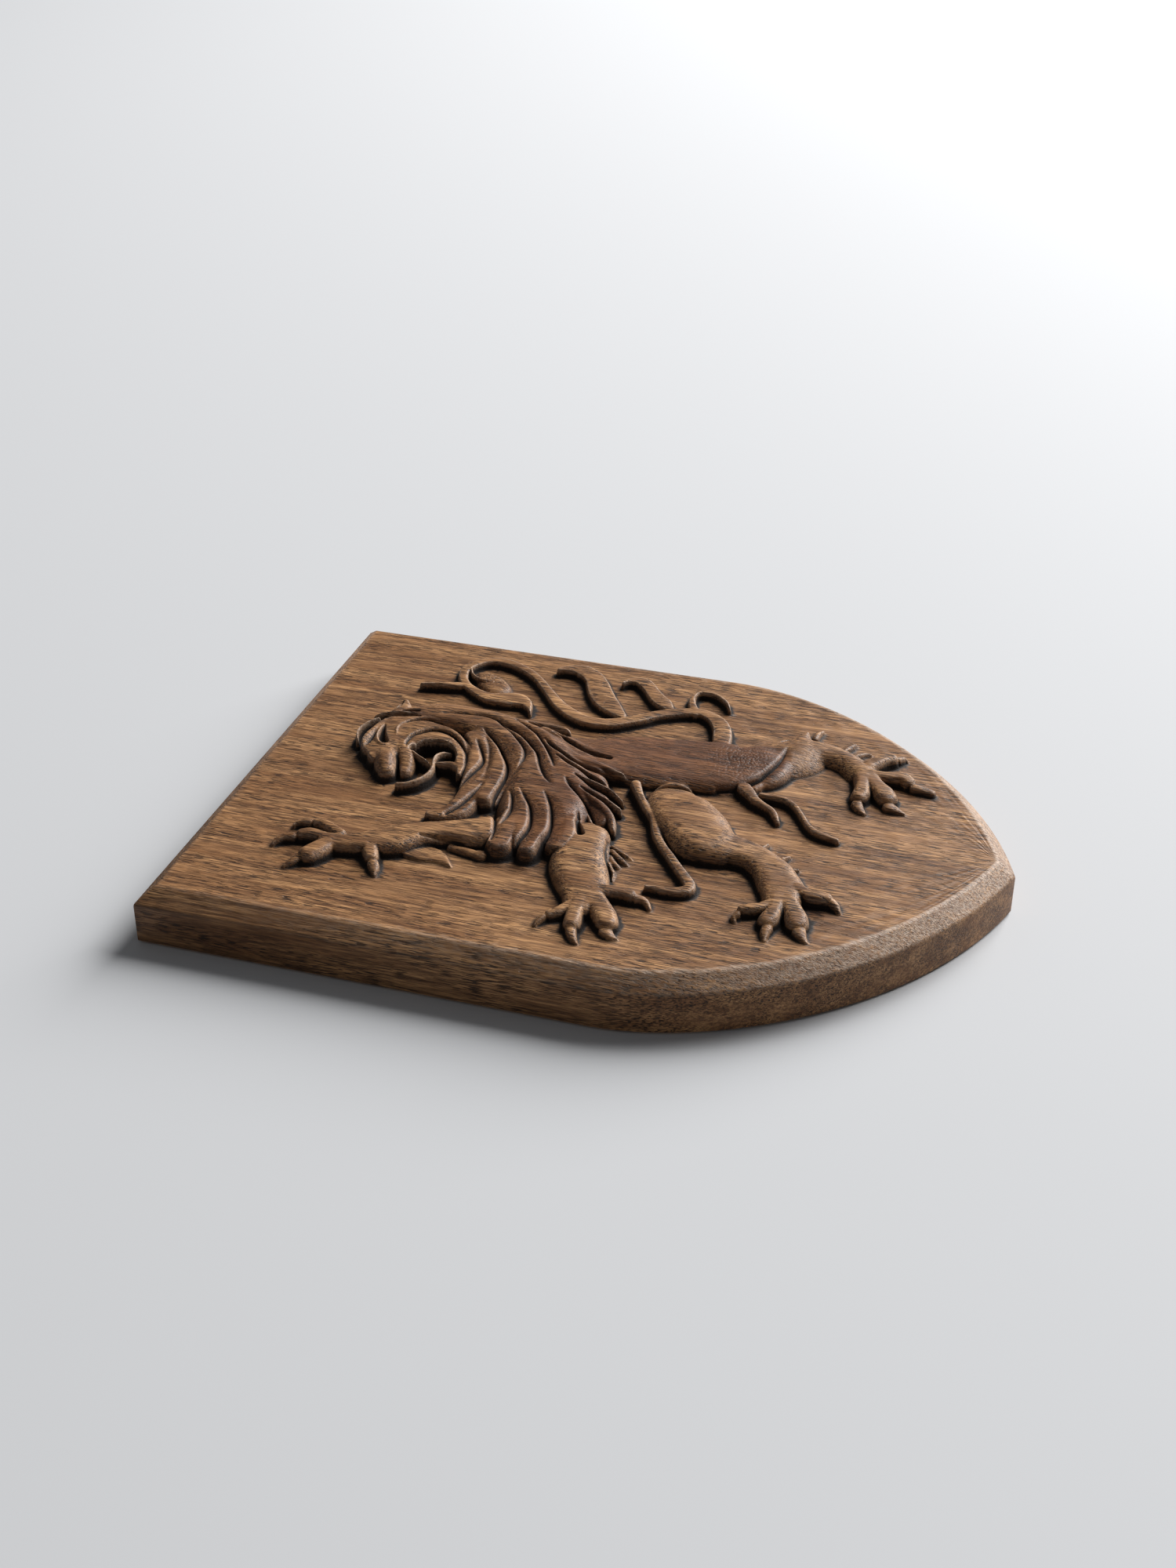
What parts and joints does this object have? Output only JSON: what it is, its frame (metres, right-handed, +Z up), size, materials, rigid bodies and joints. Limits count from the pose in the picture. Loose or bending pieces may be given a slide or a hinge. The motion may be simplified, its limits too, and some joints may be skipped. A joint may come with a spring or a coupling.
{
  "type": "heraldic wall plaque",
  "caption": "Heater-shaped wooden wall plaque with a bevelled face and a lion rampant carved in low relief.",
  "frame": {"origin": "on the flat back, on the centre line, 65 mm below the top edge, where the plaque hangs", "axes": "+Z up as the plaque hangs, +Y into the wall, so the carved face looks to -Y, and +X to the right of someone facing it"},
  "size_m": [0.2, 0.0264, 0.268],
  "materials": {
    "carved_wood": "oiled, dull satin"
  },
  "bodies": {
    "root": {"carved_shield": "carved_wood"}
  },
  "joints": []
}
